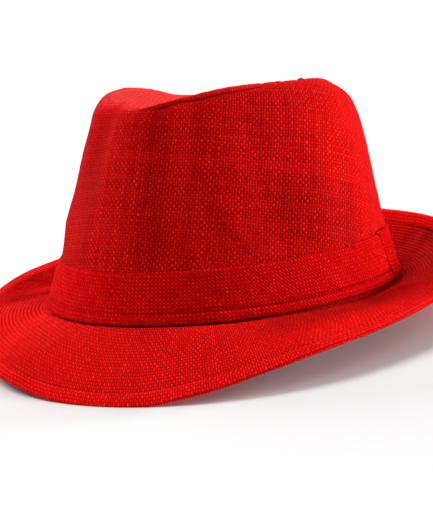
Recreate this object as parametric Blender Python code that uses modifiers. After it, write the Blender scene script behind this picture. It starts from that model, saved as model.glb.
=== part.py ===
"""Soft woven trilby hat: a cut and sewn crown, a brim turned down in front and up at the back, and a hat band.

The hat is drawn on the plane where the crown meets the brim: its front looks along -Y and the wearer's left is +X.
Turns are degrees round the crown from the front. The last step tips the hat onto the front of its brim and the
back of its crown, as it rests on a table.
"""

import math

import bmesh
import bpy
from mathutils import Vector

MM = 0.001

# Crown: its outer face where it meets the brim, and the oval seam of its tip.
HEAD_LENGTH = 206 * MM
HEAD_WIDTH = 174 * MM
TIP_LENGTH = 136 * MM
TIP_WIDTH = 101 * MM
TIP_SHIFT = 1 * MM
CROWN_HEIGHT = 108 * MM
LEFT_RISE = 1 * MM
TIP_WIDENING_FRONT = 0.04

# Pinches at the two sides of the front, and the dent along the tip.
PINCH_DEPTH = 5.5 * MM
DENT_LENGTH = 84 * MM
DENT_DEPTH = 17 * MM
DENT_SHOULDER = 0.55
TIP_ROLL = 4 * MM
TIP_EDGE = 0.8 * MM

# The brim has a level ledge under the wall of the crown and the band, and slopes from there.
BRIM_WIDTH = 42 * MM
BRIM_LEDGE = 2 * MM
HEM_WIDTH = 5.5 * MM
BAND_HEIGHT = 27 * MM
BAND_TUCK = 4.5 * MM

# Thickness of the cloth in each piece, and the clearance between pieces.
CROWN_CLOTH = 1.6 * MM
BRIM_CLOTH = 2.0 * MM
HEM_CLOTH = 2.6 * MM
BAND_CLOTH = 1.2 * MM
TUCK_CLOTH = 1.8 * MM
FOLD_CLOTH = 1.2 * MM
KNOT_CLOTH = 2.6 * MM
GAP = 0.3 * MM
SEAM_LIFT = 0.7 * MM
BAND_LIFT = 2.0 * MM
SETTLE = 0.7 * MM

STEPS_ROUND = 80

# Height of the seam round the tip, as a share of CROWN_HEIGHT.
RIM_COLUMNS = ("turn", "height")
RIM_ROWS = (
    (0, 0.936),
    (30, 0.962),
    (50, 0.985),
    (80, 1.000),
    (100, 0.991),
    (122, 0.950),
    (150, 0.940),
    (180, 0.940),
)

# Outline of the crown's side, from the brim to the seam: height and lean are shares of their totals.
SIDE_COLUMNS = ("climb", "height", "lean")
SIDE_FRONT_ROWS = (
    (0.00, 0.000, 0.000),
    (0.25, 0.250, 0.235),
    (0.50, 0.500, 0.475),
    (0.75, 0.750, 0.715),
    (0.88, 0.885, 0.850),
    (0.95, 0.960, 0.925),
    (1.00, 1.000, 1.000),
)
SIDE_BACK_ROWS = (
    (0.00, 0.000, 0.000),
    (0.20, 0.210, 0.110),
    (0.40, 0.420, 0.225),
    (0.58, 0.610, 0.310),
    (0.72, 0.760, 0.385),
    (0.81, 0.857, 0.460),
    (0.87, 0.920, 0.535),
    (0.93, 0.972, 0.670),
    (0.97, 1.000, 0.820),
    (1.00, 0.985, 1.000),
)
SIDE_CLIMBS = (0.0, 0.14, 0.30, 0.46, 0.62, 0.76, 0.87, 0.94, 1.0)
BACK_TURN_FROM = 45
BACK_TURN_TO = 100

# Pinch from the brim up: turn of its deepest line, its half widths towards the front and the back in degrees,
# and its depth as a share of PINCH_DEPTH.
PINCH_COLUMNS = ("climb", "turn", "fore", "aft", "depth")
PINCH_ROWS = (
    (0.00, 28, 12, 26, 0.00),
    (0.20, 26, 12, 25, 0.10),
    (0.40, 24, 11, 21, 0.40),
    (0.60, 23, 10, 15, 0.75),
    (0.80, 22, 10, 11, 0.95),
    (1.00, 21, 10, 10, 1.00),
)

# Depth of the dent along the tip, as a share of DENT_DEPTH.
DENT_COLUMNS = ("turn", "depth")
DENT_ROWS = (
    (0, 0.70),
    (45, 0.95),
    (90, 1.00),
    (135, 0.80),
    (180, 0.45),
)

# Run of the tip from its seam to the dent.
TIP_STEPS = (-1, 0.0, 0.10, 0.24, 0.45, 0.72, 1.0)

# Brim: slopes in degrees at the crown and at the edge, and its width as a share of BRIM_WIDTH.
BRIM_COLUMNS = ("turn", "slope_in", "slope_out", "width")
BRIM_ROWS = (
    (0, -37, -64, 1.00),
    (15, -34, -62, 1.01),
    (30, -23, -51, 0.99),
    (45, -11, -33, 0.97),
    (60, -2, -17, 0.97),
    (90, 3, 9, 0.98),
    (120, 6, 44, 0.93),
    (150, 9, 71, 0.865),
    (180, 11, 77, 0.84),
)
BRIM_STEPS = (0.0, 0.13, 0.29, 0.46, 0.62, 0.76)

# Edges of the band above the brim: the lower as a share of BAND_LIFT and the upper of BAND_HEIGHT.
BAND_COLUMNS = ("turn", "lift", "height")
BAND_ROWS = (
    (0, 0.35, 0.91),
    (50, 0.60, 0.93),
    (100, 1.00, 1.00),
    (180, 1.00, 1.00),
)

# Knot on the wearer's left, in degrees: where it starts at the lower and the upper edge of the band, and its
# span. The folded end of the band runs up to it.
KNOT_TURN_LOW = 109.0
KNOT_TURN_HIGH = 103.0
KNOT_SPAN = 12.0
FOLD_SPAN = 20.0
FOLD_CLEAR = 1.0
FOLD_LOW = 0.42
KNOT_RIBS = (0.40, 0.70, 0.95, 0.75, 1.00, 0.80, 0.95, 0.75, 1.00, 0.80, 0.50)


def column(columns, rows, name, at):
    """The named column of a table at the first column's value, on a smooth curve that lies flat at both ends."""
    index = columns.index(name)
    keys = [row[0] for row in rows]
    values = [row[index] for row in rows]
    last = len(rows) - 1
    flat_ends = keys[0] == 0 and keys[last] == 180
    place = max(k for k in range(last) if keys[k] <= at or k == 0)
    slopes = []
    for k in (place, place + 1):
        if k == 0 or k == last:
            near = 1 if k == 0 else last - 1
            slopes.append(0 if flat_ends else (values[near] - values[k]) / (keys[near] - keys[k]))
        else:
            before = (values[k] - values[k - 1]) / (keys[k] - keys[k - 1])
            after = (values[k + 1] - values[k]) / (keys[k + 1] - keys[k])
            slopes.append(2 * before * after / (before + after) if before * after > 0 else 0)
    span = keys[place + 1] - keys[place]
    u = min(max((at - keys[place]) / span, 0), 1)
    return (
        values[place] * (1 + 2 * u) * (1 - u) ** 2
        + slopes[0] * span * u * (1 - u) ** 2
        + values[place + 1] * u * u * (3 - 2 * u)
        + slopes[1] * span * u * u * (u - 1)
    )


def eased(start, end, value):
    u = min(max((value - start) / (end - start), 0), 1)
    return u * u * (3 - 2 * u)


def half_turn(turn):
    """The turn measured to whichever side of the front is nearer."""
    return abs((turn + 180) % 360 - 180)


def base_point(turn, grow=0.0):
    """A point of the oval where the crown meets the brim, moved out by grow."""
    a = math.radians(turn)
    point = Vector((math.sin(a) * HEAD_WIDTH / 2, -math.cos(a) * HEAD_LENGTH / 2, 0))
    return point + base_outward(turn) * grow


def base_outward(turn):
    a = math.radians(turn)
    return Vector((math.sin(a) / HEAD_WIDTH, -math.cos(a) / HEAD_LENGTH, 0)).normalized()


def rim_height(turn):
    return CROWN_HEIGHT * column(RIM_COLUMNS, RIM_ROWS, "height", half_turn(turn))


def pinch_depth(away, climb):
    beyond = away - column(PINCH_COLUMNS, PINCH_ROWS, "turn", climb)
    half = column(PINCH_COLUMNS, PINCH_ROWS, "fore" if beyond < 0 else "aft", climb)
    depth = PINCH_DEPTH * column(PINCH_COLUMNS, PINCH_ROWS, "depth", climb)
    return depth * math.exp(-((beyond / half) ** 2))


def crown_point(turn, climb):
    """A point of the crown's outer face: climb 0 is the brim, climb 1 the seam of the tip."""
    a = math.radians(turn)
    away = half_turn(turn)
    back = eased(BACK_TURN_FROM, BACK_TURN_TO, away)
    height = 0.0
    lean = 0.0
    for rows, weight in ((SIDE_FRONT_ROWS, 1 - back), (SIDE_BACK_ROWS, back)):
        height += weight * column(SIDE_COLUMNS, rows, "height", climb)
        lean += weight * column(SIDE_COLUMNS, rows, "lean", climb)
    widening = 1 + TIP_WIDENING_FRONT * math.cos(a)
    seam = Vector((math.sin(a) * widening * TIP_WIDTH / 2, TIP_SHIFT - math.cos(a) * TIP_LENGTH / 2, 0))
    point = base_point(turn).lerp(seam, lean)
    point -= (point - Vector((0, TIP_SHIFT, 0))).normalized() * pinch_depth(away, climb)
    point.z = height * (rim_height(turn) + LEFT_RISE * math.sin(a))
    return point


def crown_point_at(turn, height):
    """The point of the crown's outer face at a height above the brim."""
    climb = height / rim_height(turn)
    for _ in range(3):
        climb *= height / crown_point(turn, climb).z
    return crown_point(turn, climb)


def tip_point(turn, step):
    """A point of the tip's upper face: below step 0 is its standing edge, and step 1 is the line of the dent."""
    a = math.radians(turn)
    seam = crown_point(turn, 1)
    along = (seam - crown_point(turn, SIDE_CLIMBS[-2])).normalized()
    if step < 0:
        return seam + along * GAP
    start = seam + along * (GAP + TIP_EDGE)
    depth = DENT_DEPTH * column(DENT_COLUMNS, DENT_ROWS, "depth", half_turn(turn))
    dent = Vector((0, TIP_SHIFT - math.cos(a) * DENT_LENGTH / 2, rim_height(turn) - depth))
    rise = start + along * TIP_ROLL
    shoulder = rise.lerp(dent, DENT_SHOULDER)
    shoulder.z = dent.z
    keep = 1 - step
    return (
        start * keep**3
        + rise * 3 * keep**2 * step
        + shoulder * 3 * keep * step**2
        + dent * step**3
    )


def brim_point(turn, out):
    """A point of the brim's upper face: out 0 is the crown and out 1 the edge."""
    away = half_turn(turn)
    slope_in = column(BRIM_COLUMNS, BRIM_ROWS, "slope_in", away)
    slope_out = column(BRIM_COLUMNS, BRIM_ROWS, "slope_out", away)
    width = BRIM_WIDTH * column(BRIM_COLUMNS, BRIM_ROWS, "width", away)
    run = 0.0
    rise = 0.0
    pieces = 12
    for k in range(pieces):
        slope = math.radians(slope_in + (slope_out - slope_in) * out * (k + 0.5) / pieces)
        run += math.cos(slope) * width * out / pieces
        rise += math.sin(slope) * width * out / pieces
    point = base_point(turn, BRIM_LEDGE + run)
    point.z = rise
    return point


def band_point(turn, share, offset):
    """A point offset from the crown's outer face, at a share of the band's height."""
    low = BAND_LIFT * column(BAND_COLUMNS, BAND_ROWS, "lift", half_turn(turn))
    high = BAND_HEIGHT * column(BAND_COLUMNS, BAND_ROWS, "height", half_turn(turn))
    height = low + share * (high - low)
    return crown_point_at(turn, height) + base_outward(turn) * offset


def knot_turn(share):
    """The turn where the knot starts, at a share of the band's height."""
    return KNOT_TURN_LOW + (KNOT_TURN_HIGH - KNOT_TURN_LOW) * share


def cloth_colour(name, colour, roughness):
    material = bpy.data.materials.new(name)
    material.use_nodes = True
    shader = material.node_tree.nodes["Principled BSDF"]
    shader.inputs["Base Color"].default_value = (*colour, 1)
    shader.inputs["Roughness"].default_value = roughness
    shader.inputs["Metallic"].default_value = 0
    material.diffuse_color = (*colour, 1)
    return material


def add_shell(name, grid, closed, cloth, outward, weights, material):
    """A piece of cloth: a grid of points, one list for each column, given thickness by Solidify.

    outward 1 grows the cloth out of the grid's face and -1 into it. The face looks out of a wall whose rows climb,
    and down from a brim whose rows run out. weights holds a share of the thickness for each row of the grid.
    """
    mesh = bpy.data.meshes.new(name)
    rows = len(grid[0])
    points = [point for line in grid for point in line]
    faces = []
    for i in range(len(grid) if closed else len(grid) - 1):
        j = (i + 1) % len(grid)
        for k in range(rows - 1):
            faces.append((i * rows + k, j * rows + k, j * rows + k + 1, i * rows + k + 1))
    mesh.from_pydata(points, [], faces)
    obj = bpy.data.objects.new(name, mesh)
    HAT.objects.link(obj)
    obj.parent = REST
    mesh.materials.append(material)
    group = obj.vertex_groups.new(name="cloth")
    for i in range(len(grid)):
        for k in range(rows):
            group.add([i * rows + k], weights[k], "REPLACE")
    solid = obj.modifiers.new("cloth", "SOLIDIFY")
    solid.thickness = cloth
    solid.offset = outward
    solid.use_even_offset = True
    solid.use_quality_normals = True
    solid.vertex_group = group.name
    return obj


def merge_dent(obj):
    """Joins the two sides of the tip where they meet along the dent."""
    work = bmesh.new()
    work.from_mesh(obj.data)
    bmesh.ops.remove_doubles(work, verts=work.verts, dist=0.01 * MM)
    bmesh.ops.dissolve_degenerate(work, edges=work.edges, dist=0.01 * MM)
    work.to_mesh(obj.data)
    work.free()


def turns():
    return [360 * i / STEPS_ROUND for i in range(STEPS_ROUND)]


def world_points(obj):
    graph = bpy.context.evaluated_depsgraph_get()
    shape = obj.evaluated_get(graph)
    return [shape.matrix_world @ vertex.co for vertex in shape.data.vertices]


def rest_on_floor(brim):
    """Tips the hat until the front and the back of the brim's underside are level, then lowers it to the floor."""
    for _ in range(6):
        bpy.context.view_layer.update()
        points = world_points(brim)
        front = min((p for p in points if p.y < 0), key=lambda p: p.z)
        back = min((p for p in points if p.y > 0), key=lambda p: p.z)
        REST.rotation_euler.x -= math.atan2(back.z - front.z, back.y - front.y)
    bpy.context.view_layer.update()
    points = world_points(brim)
    lowest = min(p.z for p in points)
    middle = (min(p.y for p in points) + max(p.y for p in points)) / 2
    REST.location = (0, -middle, -lowest - SETTLE)


def add_floor_cutter(brim):
    """A block below the floor, which presses the cloth flat where the hat rests."""
    side = 2 * (HEAD_LENGTH + 2 * BRIM_WIDTH)
    depth = 10 * SETTLE
    bpy.ops.mesh.primitive_cube_add(size=1, location=(0, 0, -depth / 2))
    block = bpy.context.object
    block.name = "floor_cutter"
    block.scale = (side, side, depth)
    for group in block.users_collection:
        group.objects.unlink(block)
    CUTTERS.objects.link(block)
    block.hide_render = True
    block.display_type = "WIRE"
    cut = brim.modifiers.new("flat_on_floor", "BOOLEAN")
    cut.operation = "DIFFERENCE"
    cut.solver = "EXACT"
    cut.object = block


for old in list(bpy.data.objects):
    bpy.data.objects.remove(old)

HAT = bpy.data.collections.new("trilby_hat")
CUTTERS = bpy.data.collections.new("cutters")
bpy.context.scene.collection.children.link(HAT)
bpy.context.scene.collection.children.link(CUTTERS)
CUTTERS.hide_render = True
REST = bpy.data.objects.new("rest_pose", None)
HAT.objects.link(REST)

# Side panel of the crown.
side_grid = []
for turn in turns():
    line = [crown_point(turn, climb) for climb in SIDE_CLIMBS]
    line[0] = crown_point_at(turn, SEAM_LIFT)
    side_grid.append(line)
add_shell(
    "crown_side",
    side_grid,
    True,
    CROWN_CLOTH,
    -1,
    [1.0] * len(SIDE_CLIMBS),
    cloth_colour("crown_side_cloth", (0.50, 0.006, 0.006), 0.85),
)

# Tip of the crown, sewn inside the upper edge of the side panel.
tip_grid = [[tip_point(turn, step) for step in TIP_STEPS] for turn in turns()]
crown_tip = add_shell(
    "crown_tip",
    tip_grid,
    True,
    CROWN_CLOTH,
    -1,
    [1.0] * len(TIP_STEPS),
    cloth_colour("crown_tip_cloth", (0.60, 0.010, 0.010), 0.85),
)
merge_dent(crown_tip)

# Brim, which runs in under the crown's wall and ends in a turned hem.
hem_start = 1 - HEM_WIDTH / BRIM_WIDTH
brim_steps = (*BRIM_STEPS, hem_start - 0.01, hem_start + 0.01, 1.0)
thin = BRIM_CLOTH / HEM_CLOTH
brim_grid = []
for turn in turns():
    inner = base_point(turn, -(CROWN_CLOTH + 2 * GAP))
    brim_grid.append([inner] + [brim_point(turn, out) for out in brim_steps])
brim = add_shell(
    "brim",
    brim_grid,
    True,
    HEM_CLOTH,
    1,
    [thin] * (len(BRIM_STEPS) + 2) + [1.0, 1.0],
    cloth_colour("brim_cloth", (0.56, 0.008, 0.008), 0.85),
)

# Hat band, with a tuck along its lower edge.
tuck = BAND_TUCK / BAND_HEIGHT
band_shares = (0.0, tuck, tuck + 0.03, 0.55, 1.0)
band_grid = [[band_point(turn, share, GAP) for share in band_shares] for turn in turns()]
thin = BAND_CLOTH / TUCK_CLOTH
add_shell(
    "hat_band",
    band_grid,
    True,
    TUCK_CLOTH,
    1,
    [1.0, 1.0, thin, thin, thin],
    cloth_colour("hat_band_cloth", (0.42, 0.003, 0.003), 0.85),
)

# Folded end of the band, a triangle below the band's upper edge that runs in beside the knot.
FOLD_STEPS = 12
FOLD_ROWS = 4
fold_grid = []
for i in range(FOLD_STEPS + 1):
    along = 0.04 + 0.96 * i / FOLD_STEPS
    low = 1 - (1 - FOLD_LOW) * along
    line = []
    for k in range(FOLD_ROWS + 1):
        share = low + (0.99 - low) * k / FOLD_ROWS
        turn = knot_turn(share) - FOLD_CLEAR - FOLD_SPAN * (1 - along)
        line.append(band_point(turn, share, BAND_CLOTH + 2 * GAP))
    fold_grid.append(line)
add_shell(
    "band_fold",
    fold_grid,
    False,
    FOLD_CLOTH,
    1,
    [1.0] * (FOLD_ROWS + 1),
    cloth_colour("band_fold_cloth", (0.50, 0.005, 0.005), 0.85),
)

# Knot: a gathered tab of cloth that wraps the band.
KNOT_STEPS = 6
knot_grid = []
for i in range(KNOT_STEPS + 1):
    line = []
    for k in range(len(KNOT_RIBS)):
        share = 0.03 + 1.01 * k / (len(KNOT_RIBS) - 1)
        turn = knot_turn(share) + KNOT_SPAN * i / KNOT_STEPS
        line.append(band_point(turn, share, TUCK_CLOTH + 2 * GAP))
    knot_grid.append(line)
add_shell(
    "band_knot",
    knot_grid,
    False,
    KNOT_CLOTH,
    1,
    KNOT_RIBS,
    cloth_colour("band_knot_cloth", (0.50, 0.005, 0.005), 0.85),
)

rest_on_floor(brim)
add_floor_cutter(brim)
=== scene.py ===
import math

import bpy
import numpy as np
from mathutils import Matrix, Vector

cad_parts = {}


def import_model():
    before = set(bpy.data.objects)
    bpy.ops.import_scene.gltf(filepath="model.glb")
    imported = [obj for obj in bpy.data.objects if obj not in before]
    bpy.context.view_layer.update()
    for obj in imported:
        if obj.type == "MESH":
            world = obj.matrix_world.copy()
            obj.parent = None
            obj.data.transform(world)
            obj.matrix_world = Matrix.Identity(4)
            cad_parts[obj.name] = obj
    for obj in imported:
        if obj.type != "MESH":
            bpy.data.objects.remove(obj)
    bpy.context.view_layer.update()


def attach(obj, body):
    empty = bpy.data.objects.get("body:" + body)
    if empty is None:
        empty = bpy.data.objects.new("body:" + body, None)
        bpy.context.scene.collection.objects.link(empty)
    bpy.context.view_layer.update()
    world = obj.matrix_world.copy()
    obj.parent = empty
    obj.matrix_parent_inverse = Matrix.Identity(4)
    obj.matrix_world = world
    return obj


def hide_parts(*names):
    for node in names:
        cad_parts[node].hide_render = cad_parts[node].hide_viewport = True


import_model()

# The looks of a woven red trilby. Each piece of cloth is built again over its solid, with the folds, seams,
# hem and stitches that show, and gets a woven material. Lengths are in millimetres until world() turns them
# into metres. The hat is drawn on the plane where the crown meets the brim: its front looks along -Y, and
# the wearer's left is +X. Turns are degrees round the crown from its front, positive on the wearer's left.

METRE = 0.001

# How the hat rests: its tilt in degrees about X, and the place of the drawing's origin.
REST_TILT = -7.6097
REST_PLACE = (0.0, 0.63, 15.222)

# Crown: its outer face where it meets the brim, the oval seam of its tip, its pinch and its dent.
HEAD_LENGTH = 206
HEAD_WIDTH = 174
TIP_LENGTH = 136
TIP_WIDTH = 101
TIP_SHIFT = 1
CROWN_HEIGHT = 108
LEFT_RISE = 1
TIP_WIDENING_FRONT = 0.04
PINCH_DEPTH = 5.5
DENT_LENGTH = 84
DENT_DEPTH = 17
DENT_SHOULDER = 0.55
SEAM_CLIMB = 0.98

# How far the tip's cloth climbs from its seam before the dent: where no seam shows, and where one does.
TIP_ROLL = 4.8
TIP_ROLL_SEAM = 0.9

# How far the band draws the crown in on the wearer's right, at what height, and over what height.
WAIST = 1.6
WAIST_HEIGHT = 26
WAIST_REACH = 8

# Brim and band.
BRIM_WIDTH = 42
BRIM_LEDGE = 2
HEM_WIDTH = 5.5
BAND_HEIGHT = 27
BAND_LIFT = 2.0

# Thickness of the cloth in each piece, and the clearance between pieces.
CROWN_CLOTH = 1.6
BRIM_CLOTH = 2.0
HEM_CLOTH = 2.6
KNOT_CLOTH = 2.6
GAP = 0.3

RIM = (
    ("turn", "height"),
    (0, 0.936),
    (30, 0.962),
    (50, 0.987),
    (88, 1.001),
    (104, 0.986),
    (122, 0.946),
    (150, 0.940),
    (180, 0.940),
)

# The rim sags at the back on the wearer's right and is lifted along the left.
RIM_SAG = 2.6
RIM_SAG_TURN = -132
RIM_SAG_SPREAD = 26
RIM_LIFT = 0.3

SIDE_FRONT = (
    ("climb", "height", "lean"),
    (0.00, 0.000, 0.000),
    (0.25, 0.250, 0.235),
    (0.50, 0.500, 0.475),
    (0.75, 0.750, 0.715),
    (0.88, 0.885, 0.850),
    (0.95, 0.960, 0.925),
    (1.00, 1.000, 1.000),
)
SIDE_BACK = (
    ("climb", "height", "lean"),
    (0.00, 0.000, 0.000),
    (0.20, 0.210, 0.110),
    (0.40, 0.420, 0.225),
    (0.58, 0.610, 0.310),
    (0.72, 0.760, 0.385),
    (0.81, 0.857, 0.460),
    (0.87, 0.920, 0.535),
    (0.93, 0.972, 0.670),
    (0.97, 1.000, 0.820),
    (1.00, 0.985, 1.000),
)
BACK_TURN_FROM = 45
BACK_TURN_TO = 100

PINCH = (
    ("climb", "turn", "fore", "aft", "depth"),
    (0.00, 28, 12, 26, 0.00),
    (0.20, 26, 12, 25, 0.10),
    (0.40, 24, 11, 21, 0.40),
    (0.60, 23, 10, 15, 0.75),
    (0.80, 22, 10, 11, 0.95),
    (1.00, 21, 10, 10, 1.00),
)
DENT = (
    ("turn", "depth"),
    (0, 0.70),
    (45, 0.95),
    (90, 1.00),
    (135, 0.80),
    (180, 0.45),
)

# From this climb on the crown's side rolls over towards the tip, by so many millimetres on each side.
ROLL_CLIMB = 0.88
ROLL_RIGHT = 4.2
ROLL_LEFT = 1.0

BRIM = (
    ("turn", "slope_in", "slope_out", "width"),
    (0, -37, -64, 1.00),
    (15, -34, -62, 1.01),
    (30, -23, -51, 0.99),
    (45, -11, -33, 0.97),
    (60, -2, -17, 0.97),
    (90, 3, 9, 0.98),
    (120, 6, 44, 0.93),
    (150, 9, 71, 0.865),
    (180, 11, 77, 0.84),
)

# Where the brim is unlike its mirror image: there it takes the shape that lies so many degrees further back.
BRIM_SHIFTS = (
    ("turn", "spread", "back"),
    (-128, 24, -9.0),
    (-84, 14, 4.5),
    (-22, 15, 6.5),
    (68, 12, -2.0),
    (124, 14, -3.5),
)

# The brim's front edge is lifted a little on the wearer's right.
FRONT_LIFT = 2.5
FRONT_LIFT_TURN = -16
FRONT_LIFT_SPREAD = 14

# The band's edges as shares of BAND_LIFT and BAND_HEIGHT, how far it stands off the crown, and how close it
# lies on the wearer's right, as a share of that.
BAND = (
    ("turn", "lift", "height"),
    (0, 0.55, 0.91),
    (50, 0.80, 0.93),
    (100, 1.30, 1.00),
    (180, 1.30, 1.00),
)
BAND_PROFILE = (
    ("share", "offset"),
    (0.00, 1.75),
    (0.05, 2.15),
    (0.13, 2.05),
    (0.165, 1.35),
    (0.20, 1.25),
    (0.26, 1.60),
    (0.33, 1.50),
    (0.45, 1.40),
    (0.92, 1.45),
    (1.00, 0.60),
)
BAND_CLOSE = 0.4

# The fold and the knot: their turns and spans in degrees, the share of the band's height where the fold's
# edge ends, and how many ribs the knot has.
KNOT_TURN_LOW = 109.0
KNOT_TURN_HIGH = 103.0
KNOT_SPAN = 12.0
KNOT_RIBS = 12.5
FOLD_SPAN = 20.0
FOLD_OVERLAP = 0.8
FOLD_LOW = 0.42

# Soft creases pressed into the crown: where each lies, its half sizes in degrees and millimetres, how far it
# slants in degrees of turn over its height, and its depth.
CREASES = (
    ("turn", "height", "half_turn", "half_height", "slant", "depth"),
    (15, 62, 7.0, 48, -3, 1.30),
    (35, 66, 7.5, 42, -14, -1.50),
    (38, 36, 8.0, 17, -4, 0.90),
    (60, 46, 8.0, 36, -3, 1.60),
    (79, 52, 8.0, 40, 0, -1.20),
    (52, 40, 3.0, 12, 8, 0.45),
    (46, 33, 2.5, 9, -6, 0.40),
    (88, 90, 7.0, 16, 0, 0.40),
    (-21, 70, 9.0, 46, 0, -1.80),
    (-52, 43, 14.0, 10, 0, -1.30),
    (103, 60, 15.0, 52, 0, -1.00),
    (-45, 58, 6.0, 26, 4, 0.60),
    (-95, 60, 8.0, 36, -5, 0.70),
    (-140, 45, 7.0, 30, 6, 0.60),
    (150, 55, 8.0, 34, -6, 0.60),
)

# The seam under the band: how far the crown's foot is drawn in there, over what height, and how far it dips.
SEAM_TUCK = 2.2
SEAM_TUCK_HEIGHT = 4.5
SEAM_DIP = 1.3

# The welt round the tip: its radius, with the bead at its end on the left.
WELT = (
    ("turn", "radius"),
    (0, 0.40),
    (14, 0.90),
    (30, 1.20),
    (60, 1.20),
    (93, 1.05),
    (97, 2.30),
    (101, 0.50),
    (180, 0.45),
)
BEAD_TURN = 97

# Unevenness of the cloth: each ripple has a depth, a length of its waves, and a seed.
CROWN_RIPPLES = ((0.16, 46, 3), (0.10, 17, 4), (0.05, 7, 5))
TIP_RIPPLES = ((0.16, 34, 8), (0.08, 12, 9))
WELT_RIPPLES = ((0.10, 9, 21), (0.05, 3.5, 22))
BRIM_RIPPLES = ((0.14, 52, 31), (0.07, 16, 32))
BRIM_ROW_RIPPLES = ((0.45, 70, 33), (0.15, 21, 34))
RIDGE_RIPPLES = ((0.35, 30, 35),)
PATCH_RIPPLES = ((0.12, 14, 36),)
TUCK_RIPPLES = ((0.018, 60, 41),)
BAND_RIPPLES = ((0.12, 30, 42), (0.05, 9, 43))

# Height of the ridges that run round the brim with its yarns, at the front and at the sides and back, and
# how much closer they lie at the front.
RIDGE_FRONT = 0.04
RIDGE_SIDE = 0.44
FRONT_ROWS = 1.28

# A painted highlight makes the crown's cloth paler where it turns over the rim in front and on the right:
# how far down, how much.
RIM_HIGHLIGHT_REACH = 9.0
RIM_HIGHLIGHT = 0.42

# Pitch of the yarns along and across each piece. The tip's cloth is turned, and the band is cut on the bias.
YARN = (1.42, 1.47)
BRIM_YARN = (1.08, 2.10)
TIP_GRAIN = -18
BAND_GRAIN = 45

# How far the crown's rows of yarn stay level: from 0, cloth cut as a flat cone, to 1, woven in the round.
CROWN_LEVEL = 0.3

# The cloths: how light the gaps between the yarns are, which is painted shade (dark), and the yarns
# themselves (ground), how strong the painted highlights on the yarns on top are (crest), and how much the
# yarns differ (change).
CLOTHS = (
    ("name", "colour", "yarn", "dark", "crest", "ground", "change", "sheen", "gloss"),
    # The tip, welt and brim weaves are given lighter colours than the crown's, which is painted light.
    ("crown_weave", (0.65, 0.0028, 0.0024), YARN, 0.78, 0.50, 0.85, 0.30, 0.05, 0.003),
    ("tip_weave", (0.80, 0.006, 0.006), YARN, 0.66, 0.80, 0.86, 0.20, 0.18, 0.010),
    ("welt_weave", (0.84, 0.006, 0.006), YARN, 0.85, 0.50, 0.85, 0.20, 0.10, 0.010),
    ("brim_weave", (0.96, 0.005, 0.004), BRIM_YARN, 0.60, 0.80, 0.92, 0.18, 0.01, 0.010),
    ("band_weave", (0.66, 0.0006, 0.0013), YARN, 0.78, 0.40, 0.86, 0.24, 0.01, 0.006),
)
THREAD_COLOUR = (0.95, 0.045, 0.042)

# Hem stitches and yarns over the brim's edge: their pitch, the share of it that each takes, their radius.
HEM_STITCH = (2.6, 0.66, 0.26)
EDGE_YARN = (1.45, 0.84, 0.50)

# How the yarns' lines wander slowly and shake quickly: how far, and the noise's scale, detail, roughness.
YARN_MOVES = (
    (0.88, 0.07, 3.0, 0.6),
    (0.66, 0.55, 1.0, 0.5),
)

# The tint that painted highlights add, on the yarns on top and where the shade attribute paints strong
# light, and the heights of the weave and of a thread's twist.
HIGHLIGHT_TINT = (0.04, 0.026, 0.026)
WEAVE_BUMP = 0.32
THREAD_BUMP = 0.08

# Columns of each piece's mesh round the hat, the brim's rows on its body and hem and in its seam, and the
# rows over each edge of a piece whose ends are capped.
AROUND = 600
TIP_AROUND = 480
WELT_AROUND = 720
BRIM_AROUND = 590
BODY_ROWS = 96
HEM_ROWS = 20
SEAM_ROWS = 12
CAP_ROWS = 4

# Lights: the direction each comes from in degrees, its strength, and how wide it is. Azimuth 0 shines from
# the hat's front and 90 from the wearer's left.
SUNS = (
    ("key_right", 134, 3, 7.6, 25),
    ("fill_left", -115, 25, 1.6, 40),
    ("rim_left", -145, 30, 0.4, 40),
    ("top_right", 95, 45, 0.55, 40),
    ("top_left", -66, 53, 2.5, 30),
    ("top_front", 0, 60, 0.35, 40),
)
FLOOR_SIZE = 24
FLOOR_GREY = 0.80
SKY_STRENGTH = 0.02

# The camera stands where the photograph was taken, in the drawing's frame: its azimuth, elevation and roll
# in degrees, its distance, its shift across and up, and its focal length in pixels of the frame.
CAMERA_AZIMUTH = 35
CAMERA_ELEVATION = 8.9
CAMERA_ROLL = -3.9
CAMERA_DISTANCE = 1000
CAMERA_SHIFT = (-4.3, 15.7)
FOCAL_PIXELS = 1890
FRAME_HEIGHT = 516
SENSOR = 36


def records(table):
    """A table's rows, each with its values under the names of the columns."""
    columns, *rows = table
    return [dict(zip(columns, row)) for row in rows]


def lookup(table, name, at):
    """A table's named column at values of its first one, on a smooth curve, flat at turns 0 and 180."""
    columns, *rows = table
    keys = np.array([row[0] for row in rows], float)
    values = np.array([row[columns.index(name)] for row in rows], float)
    steps = np.diff(values) / np.diff(keys)
    slopes = np.zeros(len(keys))
    rising = steps[:-1] * steps[1:] > 0
    sums = np.where(rising, steps[:-1] + steps[1:], 1)
    slopes[1:-1] = np.where(rising, 2 * steps[:-1] * steps[1:] / sums, 0)
    if columns[0] != "turn":
        slopes[0] = steps[0]
        slopes[-1] = steps[-1]
    at = np.asarray(at, float)
    k = np.clip(np.searchsorted(keys, at, side="right") - 1, 0, len(keys) - 2)
    span = keys[k + 1] - keys[k]
    u = np.clip((at - keys[k]) / span, 0, 1)
    return (
        values[k] * (1 + 2 * u) * (1 - u) ** 2
        + slopes[k] * span * u * (1 - u) ** 2
        + values[k + 1] * u * u * (3 - 2 * u)
        + slopes[k + 1] * span * u * u * (u - 1)
    )


def eased(start, end, value):
    """0 up to start and 1 from end on, with a smooth change between them. start may be the larger one."""
    u = np.clip((value - start) / (end - start), 0, 1)
    return u * u * (3 - 2 * u)


def hump(value, middle, spread):
    """1 at the middle, and falling away smoothly on both sides, to about a third at the spread."""
    return np.exp(-(((value - middle) / spread) ** 2))


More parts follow.
